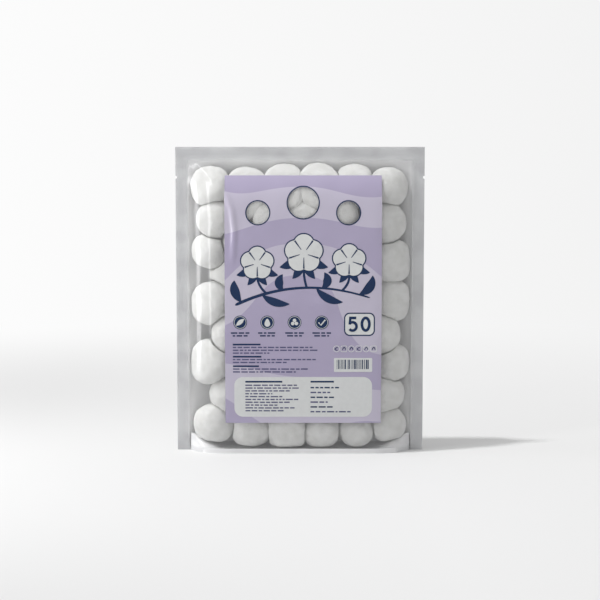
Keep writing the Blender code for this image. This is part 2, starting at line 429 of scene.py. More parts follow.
def fitted_sphere(points):
    """The sphere nearest to some points.

    A point on a sphere obeys: its squared length is twice its dot product with the centre, plus one
    number. That is linear in four unknowns, so least squares finds them.
    """
    table = np.column_stack([2 * points, np.ones(len(points))])
    answer = np.linalg.lstsq(table, (points**2).sum(axis=1), rcond=None)[0]
    centre = answer[:3]
    return centre, np.sqrt(answer[3] + centre @ centre)


def node_points(name):
    """A solid's own points, as an array."""
    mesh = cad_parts[name].data
    points = np.empty(3 * len(mesh.vertices))
    mesh.vertices.foreach_get("co", points)
    return points.reshape(-1, 3)


BALL_NAMES = [f"cotton_ball_{number:02d}" for number in range(1, BALL_COUNT + 1)]
spheres = [fitted_sphere(node_points(name)) for name in BALL_NAMES]
BALL_CENTRES = np.array([centre for centre, _ in spheres])
BALL_RADII = np.array([radius for _, radius in spheres])
print("balls", len(spheres), "mean diameter", round(2 * BALL_RADII.mean() / MM, 1), "mm")

# %% [markdown]
# ## The film's shape
#
# Film that is sealed at its edges and filled swings open fast beside the seal and then runs flat, which
# the cube in the formula gives. Between the places where a ball touches it, the film sinks a little, and
# soft folds run in from the corners and down the left edge of the label, where the photo shows bright
# lines.

# %% Work out the film's surface
# The front is side -1 and the back is side 1
DIPS = {-1: 0.45 * MM, 1: 1.3 * MM}
DIP_REACH = 9 * MM
DIP_JOIN = 4
TOUCH_REACH = 1.2 * MM
SLOPE_STEP = 0.2 * MM
LIP_HEIGHT = 0.55 * MM
LIP_WIDTH = 0.8 * MM
# How fast the dips and folds grow to their full depth as the film opens
RELIEF_GROWTH = 6
FOLD_ENDS = (0.02, 0.98)
FOLD_FADE = 0.5
# Each fold is a chain of points, across and up in millimetres, with its half width and height
FOLDS = {
    -1: [
        ([(-89, 240), (-78, 230.5), (-64.5, 215.5)], 1.7 * MM, 1.0 * MM),
        ([(-61, 215), (-55, 200), (-53, 184), (-54, 158)], 2.2 * MM, 1.4 * MM),
        ([(88, 240), (79, 229), (71, 222)], 1.6 * MM, 0.45 * MM),
        ([(-88, 9), (-79, 17), (-70, 22)], 1.8 * MM, 0.4 * MM),
        ([(88, 10), (80, 16), (69, 24)], 1.8 * MM, 0.4 * MM),
    ],
    1: [
        ([(-88, 240), (-79, 230), (-69, 220)], 1.5 * MM, 0.6 * MM),
        ([(88, 12), (78, 20), (67, 30)], 1.8 * MM, 0.5 * MM),
    ],
}


def swing(distance, run):
    """How far film has swung open at a distance from its seal: 1 less the cube of the run still to go."""
    return 1 - np.clip(1 - distance / run, 0, 1) ** 3


def opening(x, z):
    """The product of the swings from the side seals and the top seal: 0 on a seal, 1 in the middle."""
    return swing(OPEN_HALF - np.abs(x), SIDE_RUN) * swing(OPEN_TOP - z, TOP_RUN)


def half_depth(x, z):
    """Half the inside depth: the base's depth, plus half a sine wave of belly, times the opening."""
    rise = np.sin(np.pi * np.clip(z / OPEN_TOP, 0, 1))
    belly = BASE_DEPTH + (BELLY_DEPTH - BASE_DEPTH) * rise
    return CLEARANCE / 2 + belly / 2 * opening(x, z)


def touches(side):
    """Where balls touch the film on one side, as x and z, with a weight that fades as they stand off."""
    x, y, z = BALL_CENTRES.T
    stand_off = half_depth(x, z) - (side * y + BALL_RADII)
    return np.column_stack([x, z]), np.exp(-(np.clip(stand_off, 0, None) / TOUCH_REACH) ** 2)


TOUCHES = {side: touches(side) for side in (-1, 1)}


def dips(x, z, side):
    """The film's sag between touches: none at a ball, and the full dip a reach or more away.

    Bell curves round the touches are joined by a soft maximum, the fourth root of the sum of their
    fourth powers, which leaves no crease where two of them meet.
    """
    places, weights = TOUCHES[side]
    total = np.zeros_like(x)
    for (touch_x, touch_z), weight in zip(places, weights):
        squared = (x - touch_x) ** 2 + (z - touch_z) ** 2
        total += (weight * np.exp(-squared / DIP_REACH**2)) ** DIP_JOIN
    return -DIPS[side] * (1 - np.minimum(total, 1) ** (1 / DIP_JOIN)) * opening(x, z)


def fold_height(x, z, fold):
    """A soft ridge along a chain of points: a bell curve of the distance to it, fading at both ends."""
    chain, half_width, height = fold
    chain = np.array(chain) * MM
    lengths = np.linalg.norm(np.diff(chain, axis=0), axis=1)
    nearest = np.full_like(x, np.inf)
    along = np.zeros_like(x)
    for number, (start, end) in enumerate(zip(chain[:-1], chain[1:])):
        ahead = (end - start) / lengths[number]
        from_x, from_z = x - start[0], z - start[1]
        reached = np.clip(from_x * ahead[0] + from_z * ahead[1], 0, lengths[number])
        gap = np.hypot(from_x - reached * ahead[0], from_z - reached * ahead[1])
        run = (lengths[:number].sum() + reached) / lengths.sum()
        along = np.where(gap < nearest, run, along)
        nearest = np.minimum(gap, nearest)
    fade = np.sin(np.pi * np.clip(along, *FOLD_ENDS)) ** FOLD_FADE
    return height * fade * np.exp(-((nearest / half_width) ** 2))


def film_depth(x, z, side):
    """How far the film's inner face lies from the middle plane.

    It is the half depth with its dips and folds, and a low bead along the seal's inner edge, where
    the jaws squeeze the film out: a bell curve of the distance to that edge.
    """
    relief = dips(x, z, side)
    for fold in FOLDS[side]:
        relief = relief + fold_height(x, z, fold)
    inside = np.minimum(OPEN_HALF - np.abs(x), OPEN_TOP - z)
    lip = LIP_HEIGHT * np.exp(-(((inside + LIP_WIDTH) / LIP_WIDTH) ** 2))
    return half_depth(x, z) + relief * np.clip(opening(x, z) * RELIEF_GROWTH, 0, 1) + lip


def on_film(x, z, side, lift):
    """Points at a lift off the film's inner face: along the slope's normal, which is found by two steps."""
    depth = film_depth(x, z, side)
    slope_x = (film_depth(x + SLOPE_STEP, z, side) - depth) / SLOPE_STEP
    slope_z = (film_depth(x, z + SLOPE_STEP, side) - depth) / SLOPE_STEP
    return xyz(x, side * depth, z) + lift * unit(xyz(-slope_x, side, -slope_z))


# %% [markdown]
# ## The two films
#
# The front is clear film. Clear packing film is mostly not there: what shows is the gloss on it. Light
# passes straight through except for a faint haze, and a heat seal, where two layers are welded and ribbed
# by the jaws, is milky. So its shader mixes three parts: a see-through one, a milky one that grows with a
# seal number stored on the mesh, and a mirror that grows as the film turns away from the eye. The back
# and the base are one opaque white shader with the same creases and ribs.

# %% Make the films' finishes
FILM_HAZE = 0.035
SEAL_HAZE = 0.26
FILM_GREY = screen_colour(236, 237, 239)
FILM_TINT = (0.985, 0.985, 0.985, 1.0)
MIRROR_TINT = (0.95, 0.95, 0.96, 1.0)
WHITE_LIGHT = screen_colour(250, 250, 251)
WHITE_SHADE = screen_colour(222, 222, 224)
# On open film the clouds' noise is drawn together, by a share and towards a level
CALM_SHARE, CALM_LEVEL = 0.22, 0.46
MIRROR_LEAST = 0.035
MIRROR_MOST = 0.55
MIRROR_POWER = 4.0
FILM_ROUGHNESS = 0.15
RIB_PITCH = 1.7 * MM
CREASE_DEPTH = 1.0 * MM
RIB_DEPTH = 0.12 * MM


def mirror_share(tree):
    """A least share, plus the rest times a high power of how far the film turns from the eye."""
    facing = add_node(tree, "LayerWeight", {"Blend": 0.5}).outputs["Facing"]
    power = calc(tree, "POWER", facing, MIRROR_POWER)
    return calc(tree, "MULTIPLY_ADD", power, MIRROR_MOST - MIRROR_LEAST, MIRROR_LEAST)


def seal_and_bump(tree):
    """How sealed the film is, and its normal: soft creases, and the jaws' slanted ribs on a seal."""
    sealed = add_node(tree, "Attribute", attribute_name="seal").outputs["Fac"]
    creases = noise(tree, scale=42.0, detail=3.0, distortion=0.8)
    soft = bump(tree, creases, strength=0.4, distance=CREASE_DEPTH)
    ribs = calc(tree, "MULTIPLY", bands(tree, RIB_PITCH, "DIAGONAL"), sealed)
    return sealed, bump(tree, ribs, strength=0.6, distance=RIB_DEPTH, over=soft)


def clear_film_surface(tree):
    """Clear gloss film, milky where it is sealed."""
    sealed, normal = seal_and_bump(tree)
    milk = {"Base Color": FILM_GREY, "Roughness": 0.45, "Normal": normal}
    gloss = {"Base Color": MIRROR_TINT, "Metallic": 1.0, "Roughness": FILM_ROUGHNESS, "Normal": normal}
    through = shader(tree, "BsdfTransparent", {"Color": FILM_TINT})
    haze = span(tree, sealed, 0.0, 1.0, FILM_HAZE, SEAL_HAZE)
    body = mixed(tree, haze, through, shader(tree, "BsdfPrincipled", milk))
    return mixed(tree, mirror_share(tree), body, shader(tree, "BsdfPrincipled", gloss))


def white_film_surface(tree):
    """Opaque white film with a soft gloss, creased and ribbed as the clear one is.

    Its tone is even where it is open, and cloudy where the jaws have squeezed it unevenly.
    """
    sealed, normal = seal_and_bump(tree)
    cloud = noise(tree, scale=55.0, detail=3.0)
    calm = calc(tree, "MULTIPLY_ADD", cloud, CALM_SHARE, CALM_LEVEL)
    # A Mix node of plain numbers has them at inputs 2 and 3
    share = add_node(tree, "Mix", {0: sealed, 2: calm, 3: cloud}).outputs[0]
    tones = ramp(tree, share, [(0.38, WHITE_SHADE), (0.6, WHITE_LIGHT)])
    film = {"Base Color": tones, "Roughness": 0.34, "Coat Weight": 0.3, "Coat Roughness": 0.15}
    return shader(tree, "BsdfPrincipled", {**film, "Normal": normal})


CLEAR_FILM = add_material("clear_film", clear_film_surface)
WHITE_FILM = add_material("white_film", white_film_surface)

# %% [markdown]
# ## The two panels
#
# A panel is one grid from edge to edge. Its rows are closer together at the tear notches, where the
# outermost columns draw in along a half circle, so the notch is part of the sheet's outline. A number
# stored on each point says how sealed the film is there, for the shader.

# %% Make the front and back panels
PANEL_COLUMN_PITCH = 1.25 * MM
PANEL_ROW_PITCH = 1.6 * MM
SEAL_COLUMNS = 8
NOTCH_RADIUS = 1.3 * MM
NOTCH_HEIGHT = HEIGHT - 24.7 * MM
NOTCH_ROWS = 13
# Even rows keep this many notch radii off the notch
NOTCH_CLEAR = 1.3
SEAL_BLEND = 0.5 * MM
BASE_SEAL = 4 * MM


def row_heights():
    """Even heights up the panel, with a cosine-spaced set of rows across the notch."""
    even = np.arange(0, HEIGHT, PANEL_ROW_PITCH)
    even = even[np.abs(even - NOTCH_HEIGHT) > NOTCH_RADIUS * NOTCH_CLEAR]
    notch = NOTCH_HEIGHT - NOTCH_RADIUS * np.cos(np.linspace(0, np.pi, NOTCH_ROWS))
    return np.sort(np.concatenate([even, notch, [HEIGHT]]))


def edge_at(z):
    """How far the panel reaches sideways at a height: its half width, less the notch's half circle."""
    inside = np.clip(1 - ((z - NOTCH_HEIGHT) / NOTCH_RADIUS) ** 2, 0, None)
    return HALF_WIDTH - NOTCH_RADIUS * np.sqrt(inside)


def panel_grid():
    """x and z on the panel's grid: even columns between the seals, and the seals' own out to the edge."""
    open_columns = int(np.ceil(2 * OPEN_HALF / PANEL_COLUMN_PITCH))
    middle = np.linspace(-OPEN_HALF, OPEN_HALF, open_columns + 1)
    z = row_heights()[:, None]
    reach = np.linspace(1, 0, SEAL_COLUMNS + 1)[:-1][None]
    seal = OPEN_HALF + (edge_at(z) - OPEN_HALF) * reach
    x = np.concatenate([-seal, np.broadcast_to(middle, (len(z), len(middle))), seal[:, ::-1]], axis=1)
    return x, np.broadcast_to(z, x.shape)


def seal_share(x, z):
    """1 on a heat seal and 0 on open film, with a short blend between them."""
    beyond = np.maximum(np.maximum(np.abs(x) - OPEN_HALF, z - OPEN_TOP), BASE_SEAL - z)
    return np.clip(beyond / SEAL_BLEND + 0.5, 0, 1)


def store_seal(piece, shares):
    """Keeps how sealed each point is on the mesh, for the film's shader."""
    layer = piece.data.attributes.new("seal", "FLOAT", "POINT")
    layer.data.foreach_set("value", np.ascontiguousarray(shares, dtype=np.float32).ravel())


def add_panel(name, node, side, film):
    """One film panel, thickened outwards; the back one is turned so that it faces out too."""
    x, z = panel_grid()
    points = on_film(x, z, side, 0.0)
    shares = seal_share(x, z)
    if side > 0:
        points, shares = points[:, ::-1], shares[:, ::-1]
    piece = add_piece(name, points, grid_cells(*x.shape), film)
    store_seal(piece, shares)
    thicken(piece, FILM)
    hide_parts(node)
    return piece


front_panel = add_panel("front_panel", "front_film", -1, CLEAR_FILM)
add_panel("back_panel", "back_film", 1, WHITE_FILM)
print("each panel has", len(front_panel.data.polygons), "cells")

# %% [markdown]
# ## The base gusset
#
# The base is one folded strip of film. Where the panels stand wide apart it lies low and flat, and
# towards the side seals, where they close, the same strip has to stand up in an arch. Its width is
# constant, so the arch's height follows from how far apart the panels are.

# %% Make the gusset
SKIRT_HEIGHT = 4 * MM
BASE_HEIGHT = 1.2 * MM
GUSSET_SLACK = 0.6 * MM
GUSSET_MARGIN = 1.5 * MM
GUSSET_COLUMNS = 121
ARCH_ROWS = 25


def skirt_reach(x):
    """How far from the middle plane the gusset's skirt stands: just inside the panel."""
    return half_depth(x, SKIRT_HEIGHT) - CLEARANCE


def arch_middle(x):
    """The arch's height on the middle plane: the other leg of a triangle whose long side is constant."""
    longest = skirt_reach(0.0) + GUSSET_SLACK
    rise = np.sqrt(longest**2 - skirt_reach(x) ** 2)
    return BASE_HEIGHT + rise - np.sqrt(longest**2 - skirt_reach(0.0) ** 2)


def gusset_height(x, y):
    """The gusset's height at a place: a parabola from the middle down to the skirt's top."""
    share = np.clip(y / skirt_reach(x), -1, 1)
    middle = arch_middle(x)
    return middle + (SKIRT_HEIGHT - middle) * share**2


def add_gusset():
    """The gusset as one grid: a foot row, the arch from front to back, and a foot row."""
    x = np.linspace(-OPEN_HALF + GUSSET_MARGIN, OPEN_HALF - GUSSET_MARGIN, GUSSET_COLUMNS)
    foot = half_depth(x, 0.0) - CLEARANCE
    arch = np.linspace(-1, 1, ARCH_ROWS)[:, None] * skirt_reach(x)[None]
    y = np.concatenate([-foot[None], arch, foot[None]])
    z = np.zeros_like(y)
    z[1:-1] = gusset_height(x[None], arch)
    piece = add_piece("gusset", xyz(x, y, z), grid_cells(*y.shape), WHITE_FILM)
    store_seal(piece, np.zeros(y.shape))
    thicken(piece, FILM)
    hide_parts("base_gusset")


add_gusset()

# %% [markdown]
# ## The cotton
#
# A cotton ball is a loose ball of fine fibre: matt, a little see-through at its skin, and never quite
# round. Its finish is a rough white with some light let into it, a faint sheen from the fibre ends and a
# fine tangled bump.

# %% Make the cotton's finish
COTTON_LIGHT = screen_colour(247, 247, 245)
COTTON_SHADE = screen_colour(236, 236, 233)
WISP_DEPTH = 1.2 * MM
TANGLE_DEPTH = 0.35 * MM


def cotton_surface(tree):
    """Matt white fibre: two whites mixed by a soft noise, and bumps of wisps and of tangled threads."""
    patches = noise(tree, scale=160.0, detail=3.0)
    wisps = noise(tree, scale=260.0, detail=5.0, distortion=1.6)
    tangle = noise(tree, scale=900.0, detail=5.0, distortion=2.5)
    tufts = bump(tree, wisps, strength=0.45, distance=WISP_DEPTH)
    look = {
        "Base Color": ramp(tree, patches, [(0.35, COTTON_SHADE), (0.62, COTTON_LIGHT)]),
        "Roughness": 1.0,
        "Specular IOR Level": 0.2,
        "Subsurface Weight": 0.25,
        "Subsurface Radius": (1.0, 0.98, 0.95),
        "Subsurface Scale": 2.0 * MM,
        "Sheen Weight": 0.15,
        "Sheen Roughness": 0.6,
        "Normal": bump(tree, tangle, strength=0.5, distance=TANGLE_DEPTH, over=tufts),
    }
    return shader(tree, "BsdfPrincipled", look)


COTTON = add_material("cotton", cotton_surface)

# %% [markdown]
# ## The balls
#
# Soft balls that are packed together dent each other. The ball nearer the front stays round and the one
# behind it gives way, so that round balls overlap in the view as they do in a real pouch. From a ball's
# centre, the balls in front and the film each set how far it may reach, and a soft minimum of these and
# its own radius rounds the rim of every dent. Low waves make the ball uneven, and higher ones give its
# skin the small tufts of cotton.

# %% Make the balls
BALL_ROWS = 48
BALL_COLUMNS = 70
PRESS_SHARPNESS = 9
BALL_SWELL = 1.13
SEAL_SWELL = 0.16
SEAL_REACH = 30 * MM
KEPT_SHARE = 0.62
ORDER_JITTER = 2.0 * MM
WINDOW_REACH = 9 * MM
WINDOW_SWELL = 1.0
BALL_SEED = 4
HALVINGS = 18
LEAST_ALONG = 1e-9
BALL_MARGIN = 0.2 * MM
# Each set of lumps is how many waves it has, how many fit in a radian, and how deep they are
LUMPS = ((5, (1.5, 3.5), 0.022), (8, (5.0, 9.0), 0.014), (14, (14.0, 28.0), 0.008))


def unit_sphere(rows, columns):
    """Directions all round, row by row from pole to pole, and the faces that join them into a sphere."""
    polar = np.linspace(0, np.pi, rows + 2)[1:-1, None]
    across = np.sin(polar)[..., None] * way(once_round(columns))
    rings = xyz(across[..., 0], across[..., 1], np.cos(polar)).reshape(-1, 3)
    top, bottom, last = len(rings), len(rings) + 1, (rows - 1) * columns
    cells = grid_cells(rows, columns, closed=True)[:, ::-1].tolist()
    for column in range(columns):
        beside = (column + 1) % columns
        cells += [[column, beside, top], [last + beside, last + column, bottom]]
    return np.concatenate([rings, [[0, 0, 1], [0, 0, -1]]]), cells


def random_turn(chance):
    """A random rotation: the orthogonal part of a random matrix, with its sign set to keep it a turn."""
    turn = np.linalg.qr(chance.normal(size=(3, 3)))[0]
    return turn * np.sign(np.linalg.det(turn))


def window_balls():
    """The balls that show in the label's windows: those whose centre is near one, across and up."""
    x, _, z = BALL_CENTRES.T
    found = set()
    for across, down, radius in WINDOWS:
        aside = np.hypot(x - LABEL_MIDDLE - across, z - LABEL_TOP + down)
        found.update(np.flatnonzero(aside < radius + WINDOW_REACH).tolist())
    return found


def front_ranks():
    """Each ball's place in the order from front to back, with a little chance in it."""
    jitter = np.random.default_rng(BALL_SEED).normal(0, ORDER_JITTER, BALL_COUNT)
    return np.argsort(np.argsort(BALL_CENTRES[:, 1] + jitter))


def round_radii():
    """Each ball's seen radius: swollen, but it leaves every ball behind it a share of its own radius."""
    apart = np.linalg.norm(BALL_CENTRES[:, None] - BALL_CENTRES[None], axis=-1)
    room = apart - KEPT_SHARE * BALL_RADII[None]
    behind = RANKS[None] > RANKS[:, None]
    return np.minimum(BALL_SWELL * BALL_RADII, np.where(behind, room, np.inf).min(axis=1))


WINDOW_BALLS = window_balls()
RANKS = front_ranks()
ROUND_RADII = round_radii()


def dents(index, directions):
    """How far each direction runs before it meets each ball in front.

    A ray meets a sphere at the root of a quadratic: the squared distance to the sphere's centre less
    its squared radius, over the sum of the distance along the ray and the root of the rest. Past the
    sphere's rim the rest is taken as 0, which lets the reach grow smoothly.
    """
    offsets = BALL_CENTRES[RANKS < RANKS[index]] - BALL_CENTRES[index]
    radii = ROUND_RADII[RANKS < RANKS[index]] + CLEARANCE
    power = (offsets**2).sum(axis=1) - radii**2
    along = np.maximum(directions @ offsets.T, LEAST_ALONG)
    return power / (along + np.sqrt(np.maximum(along**2 - power, 0)))


def inside_film(points):
    """Whether points lie inside the pouch: between its panels and above its base."""
    x, y, z = points.T
    between = np.abs(y) < half_depth(x, z) - FILM - CLEARANCE
    above = z > gusset_height(x, y) + FILM + CLEARANCE
    return between & above


def room_to_film(centre, directions, furthest):
    """How far each direction runs before it meets the film: a span that is halved again and again."""
    near = np.zeros(len(directions))
    far = np.full(len(directions), furthest)
    for _ in range(HALVINGS):
        middle = (near + far) / 2
        inside = inside_film(centre + directions * middle[:, None])
        near = np.where(inside, middle, near)
        far = np.where(inside, far, middle)
    return near


def random_waves(chance):
    """For each set of lumps: random wave vectors of about one length, their phases and their depth."""
    waves = []
    for count, lengths, size in LUMPS:
        vectors = unit(chance.normal(size=(count, 3)))
        vectors *= chance.uniform(*lengths, (count, 1))
        waves.append((vectors, chance.uniform(0, 2 * np.pi, count), size))
    return waves


def lump_depth(directions, waves):
    """How deep the hollows between lumps are: sets of sine waves, each lowered to lie below the skin."""
    depth = np.zeros(len(directions))
    for vectors, phases, size in waves:
        wave = np.sin(directions @ vectors.T + phases).mean(axis=1) * len(phases) ** 0.5
        depth += size * np.clip(1 - wave, 0, 2)
    return depth


def swelling(index, directions):
    """How far a ball swells into the free room beside a seal or behind a window.

    It is by the square of how far a direction points there.
    """
    x, _, z = BALL_CENTRES[index]
    rooms = [
        (OPEN_HALF - abs(x) < SEAL_REACH, SEAL_SWELL, directions[:, 0] * np.sign(x)),
        (OPEN_TOP - z < SEAL_REACH, SEAL_SWELL, directions[:, 2]),
        (index in WINDOW_BALLS, WINDOW_SWELL, -directions[:, 1]),
    ]
    return 1 + sum(near * swell * np.clip(towards, 0, 1) ** 2 for near, swell, towards in rooms)


def ball_reach(index, directions, waves):
    """How far a ball's skin is from its centre in some directions.

    It is a soft minimum of the ball's own radius, the dents of the balls in front and the way to the
    film, less the hollows between its lumps.
    """
    radius = ROUND_RADII[index]
    to_film = room_to_film(BALL_CENTRES[index], directions, 2 * radius)
    own = radius * swelling(index, directions)
    every = np.column_stack([own, to_film, dents(index, directions)])
    pressed = ((every / radius) ** -PRESS_SHARPNESS).sum(axis=1) ** (-1 / PRESS_SHARPNESS) * radius
    return pressed * (1 - lump_depth(directions, waves))


def held_by_film(points):
    """Points kept a margin inside the film, where it dips between two balls."""
    x, y, z = points.T
    front, back = (film_depth(x, z, side) - BALL_MARGIN for side in (-1, 1))
    return xyz(x, np.clip(y, -front, back), z)


def add_balls():
    """Fifty balls, each on its solid's place; their waves are kept for the loose fibres."""
    chance = np.random.default_rng(BALL_SEED)
    directions, faces = unit_sphere(BALL_ROWS, BALL_COLUMNS)
    kept = []
    for index, node in enumerate(BALL_NAMES):
        waves = random_waves(chance)
        turned = directions @ random_turn(chance).T
        reach = ball_reach(index, turned, waves)
        points = held_by_film(BALL_CENTRES[index] + turned * reach[:, None])
        ball = add_piece(f"fluffy_ball_{index + 1:02d}", points, faces, COTTON)
        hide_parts(node)
        kept.append(waves)
    return kept


ball_waves = add_balls()
print("each ball has", BALL_ROWS * BALL_COLUMNS + 2, "points; behind the windows:", len(WINDOW_BALLS))

# %% [markdown]
# ## Loose fibres
#
# Fine fibres stand off the skin of every cotton ball and curl back on it. Each is a thin three-sided
# tube along a path that wanders over the ball a little above its skin. Hair would do this too, but a
# tube is plain geometry that every renderer and file format can read.

# %% Make the loose fibres
FIBRES_A_BALL = 56
FIBRE_STEPS = 7
FIBRE_SIDES = 3
FIBRE_RADIUS = 0.045 * MM
FIBRE_SPAN = (0.25, 0.65)
FIBRE_LIFT = (0.15 * MM, 0.75 * MM)
FIBRE_BEND = (-0.35, 0.35)
FIBRE_TURNS = (0.4, 1.3)
ARCH_START, ARCH_SPAN = 0.1, 0.8
TAPER_ENDS = (0.06, 0.94)
FIBRE_SEED = 9


def fibre_paths(index, waves, chance):
    """Wandering paths on one ball: great-circle steps bent sideways by a sine, arched off the skin."""
    start = unit(chance.normal(size=(FIBRES_A_BALL, 3)))
    heading = unit(np.cross(start, chance.normal(size=(FIBRES_A_BALL, 3))))
    sideways = np.cross(start, heading)
    share = np.linspace(0, 1, FIBRE_STEPS)[None, :, None]
    one_each = (FIBRES_A_BALL, 1, 1)
    length, bend, turns = (chance.uniform(*r, one_each) for r in (FIBRE_SPAN, FIBRE_BEND, FIBRE_TURNS))
    wander = bend * np.sin(np.pi * turns * share)
    ahead, aside = length * share * heading[:, None], length * wander * sideways[:, None]
    directions = unit(start[:, None] + ahead + aside)
    arch = np.sin(np.pi * (ARCH_START + ARCH_SPAN * share))
    lift = chance.uniform(*FIBRE_LIFT, one_each) * arch
    flat = directions.reshape(-1, 3)
    reach = ball_reach(index, flat, waves) + lift.ravel()
    points = held_by_film(BALL_CENTRES[index] + flat * reach[:, None])
    return points.reshape(directions.shape), directions


def tubes(paths, outward):
    """A three-sided tube round every path, tapered to a point at both ends, with its grid cells."""
    along = unit(np.gradient(paths, axis=1))
    beside = unit(np.cross(along, outward))
    above = np.cross(beside, along)
    steps = paths.shape[1]
    taper = np.sin(np.pi * np.linspace(*TAPER_ENDS, steps))[None, :, None, None] ** 0.5
    turn = once_round(FIBRE_SIDES)[None, None, :, None]
    ring = np.cos(turn) * beside[:, :, None] + np.sin(turn) * above[:, :, None]
    points = paths[:, :, None] + FIBRE_RADIUS * taper * ring
    count = steps * FIBRE_SIDES
    starts = np.arange(len(paths))[:, None, None] * count
    sides = (grid_cells(steps, FIBRE_SIDES, closed=True)[None] + starts).reshape(-1, 4)
    caps = (np.array([[0, 1, 2], [count - 1, count - 2, count - 3]])[None] + starts).reshape(-1, 3)
    return points, sides.tolist() + caps.tolist()


def add_fibres():
    """The loose fibres of all the balls, as one piece."""
    chance = np.random.default_rng(FIBRE_SEED)
    found = [fibre_paths(index, waves, chance) for index, waves in enumerate(ball_waves)]
    paths = np.concatenate([path for path, _ in found])
    outward = np.concatenate([direction for _, direction in found])
    points, faces = tubes(paths, outward)
    add_piece("loose_fibres", points, faces, COTTON)
    print("loose fibres:", len(paths), "with", len(faces), "faces")


add_fibres()

# %% [markdown]
# ## The label's finish
#
# The label is satin-coated paper with broad waves in two tones of lavender: a band texture that a
# distortion bends, cut into two tones by a steep ramp. The ground and the white ink share one satin coat,
# while the dark inks are nearly matt, so that no sheen greys them. A very fine bump keeps the paper from
# looking like plastic.

# %% Make the inks
LAVENDER_LIGHT = screen_colour(201, 194, 215)
LAVENDER_DARK = screen_colour(175, 165, 197)
NAVY = screen_colour(27, 50, 88)
INK_GREY = screen_colour(92, 92, 128)
PAPER_WHITE = screen_colour(226, 228, 228)
GROUND_WAVE = 0.085
PAPER_GRAIN = 0.04 * MM
INK_MOTTLE = 0.975
SATIN = {"Coat Weight": 1.0, "Specular IOR Level": 0.5}
MATT = {"Coat Weight": 0.05, "Specular IOR Level": 0.2}


def print_material(name, colour, sheen):
    """Print: a colour under a thin clear coat, with the paper's fine grain as a bump.

    The colour is given by a function of the tree, which adds the nodes that it needs.
    """

    def surface(tree):
        grain = noise(tree, scale=1400.0, detail=2.0)
        look = {
            "Base Color": colour(tree),
            "Roughness": 0.42,
            "Coat Roughness": 0.13,
            "Coat IOR": 1.7,
            "Normal": bump(tree, grain, strength=0.3, distance=PAPER_GRAIN),
        }
        return shader(tree, "BsdfPrincipled", {**look, **sheen})

    return add_material(name, surface)


def ground_colour(tree):
    """Broad bent bands in two tones of lavender."""
    waves = bands(tree, GROUND_WAVE, "Z", distortion=5.5, bend_scale=2.6)
    return ramp(tree, waves, [(0.50, LAVENDER_DARK), (0.52, LAVENDER_LIGHT)])


def make_ink(name, colour, sheen):
    """One ink: its colour, mottled very slightly as print is."""

    def mottled(tree):
        darker = (*[channel * INK_MOTTLE for channel in colour[:3]], 1.0)
        return ramp(tree, noise(tree, scale=300.0, detail=2.0), [(0.4, darker), (0.6, colour)])

    return print_material(name, mottled, sheen)


INKS = {
    "navy": make_ink("navy_ink", NAVY, MATT),
    "grey": make_ink("grey_ink", INK_GREY, MATT),
    "white": make_ink("white_ink", PAPER_WHITE, SATIN),
}
LABEL_GROUND = print_material("label_ground", ground_colour, SATIN)

# %% [markdown]
# ## The label
#
# The label lies on the front film, so it is a piece of the same surface lifted by the film's thickness.
# Its three round windows are cut with cylinders. A Boolean is the plain way to make a clean round hole
# in a grid of squares, and its result is written into the mesh at once.

# %% Make the label
LABEL_PITCH = 1.0 * MM
LABEL_THICKNESS = 0.12 * MM
WINDOW_POINTS = 72
CUT_DEPTH = 60 * MM


def circle(points, radius=1.0):
    """Points round a circle, as pairs of across and down."""
    return radius * way(once_round(points))


def window_cutter(across, down, radius):
    """A cylinder along Y through the label, with a flat face at each end."""
    ring = circle(WINDOW_POINTS, radius) + (LABEL_MIDDLE + across, LABEL_TOP - down)
    depths = np.array([-CUT_DEPTH, 0.0])[:, None]
    points = xyz(ring[:, 0], depths, ring[:, 1]).reshape(-1, 3)
    front = list(range(WINDOW_POINTS))
    back = [WINDOW_POINTS + number for number in reversed(front)]
    sides = grid_cells(2, WINDOW_POINTS, closed=True)[:, ::-1].tolist()
    mesh = bpy.data.meshes.new("window_cutter")
    mesh.from_pydata(points.tolist(), [], [*sides, front, back])
    return placed("window_cutter", mesh)


def on_label(across, down, lift=0.0):
    """Points over the label's printed face, by how far they are across its middle and down its top."""
    lift = FILM + CLEARANCE + LABEL_THICKNESS + lift
    return on_film(LABEL_MIDDLE + across, LABEL_TOP - down, -1, lift)


def add_label():
    """The label's sheet, thickened outwards, with its windows cut."""
    width, height = LABEL_RIGHT - LABEL_LEFT, LABEL_TOP - LABEL_BOTTOM
    across = np.linspace(-width / 2, width / 2, int(width / LABEL_PITCH))
    down = np.linspace(height, 0, int(height / LABEL_PITCH))
    across, down = np.meshgrid(across, down)
    points = on_label(across, down, -LABEL_THICKNESS)
    label = add_piece("label_sheet", points, grid_cells(*across.shape), LABEL_GROUND)
    thicken(label, LABEL_THICKNESS, [window_cutter(*window) for window in WINDOWS])
    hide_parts("front_label")
    return label


label_sheet = add_label()
print("the label has", len(label_sheet.data.polygons), "faces")

# %% [markdown]
# ## Shapes for print
#
# A printed shape is drawn flat, as a grid of points across and down, and then laid on the label's
# surface. Two kinds cover everything: a stroke of some width along a path, and a filled outline drawn in
# from its edge to its middle. All shapes of one ink and layer become one piece.

# %% Helpers for print
INK_THICKNESS = 0.02 * MM
LAYER_STEP = 0.035 * MM
FIRST_LIFT = 0.02 * MM
PRINT_PITCH = 2.2 * MM
CAP_SHARE = 0.15
CORNER_POINTS = 7
LEAF_ENDS = (0.004, 0.996)
LEAF_FULLNESS = 0.8
printed = {}


def put(ink, layer, grid, faces):
    """Keeps a flat shape for an ink and a layer; its points are across and down in millimetres."""
    points = np.asarray(grid, dtype=float).reshape(-1, 2) * MM
    lift = FIRST_LIFT + layer * LAYER_STEP
    printed.setdefault((ink, layer), []).append((on_label(points[:, 0], points[:, 1], lift), faces))


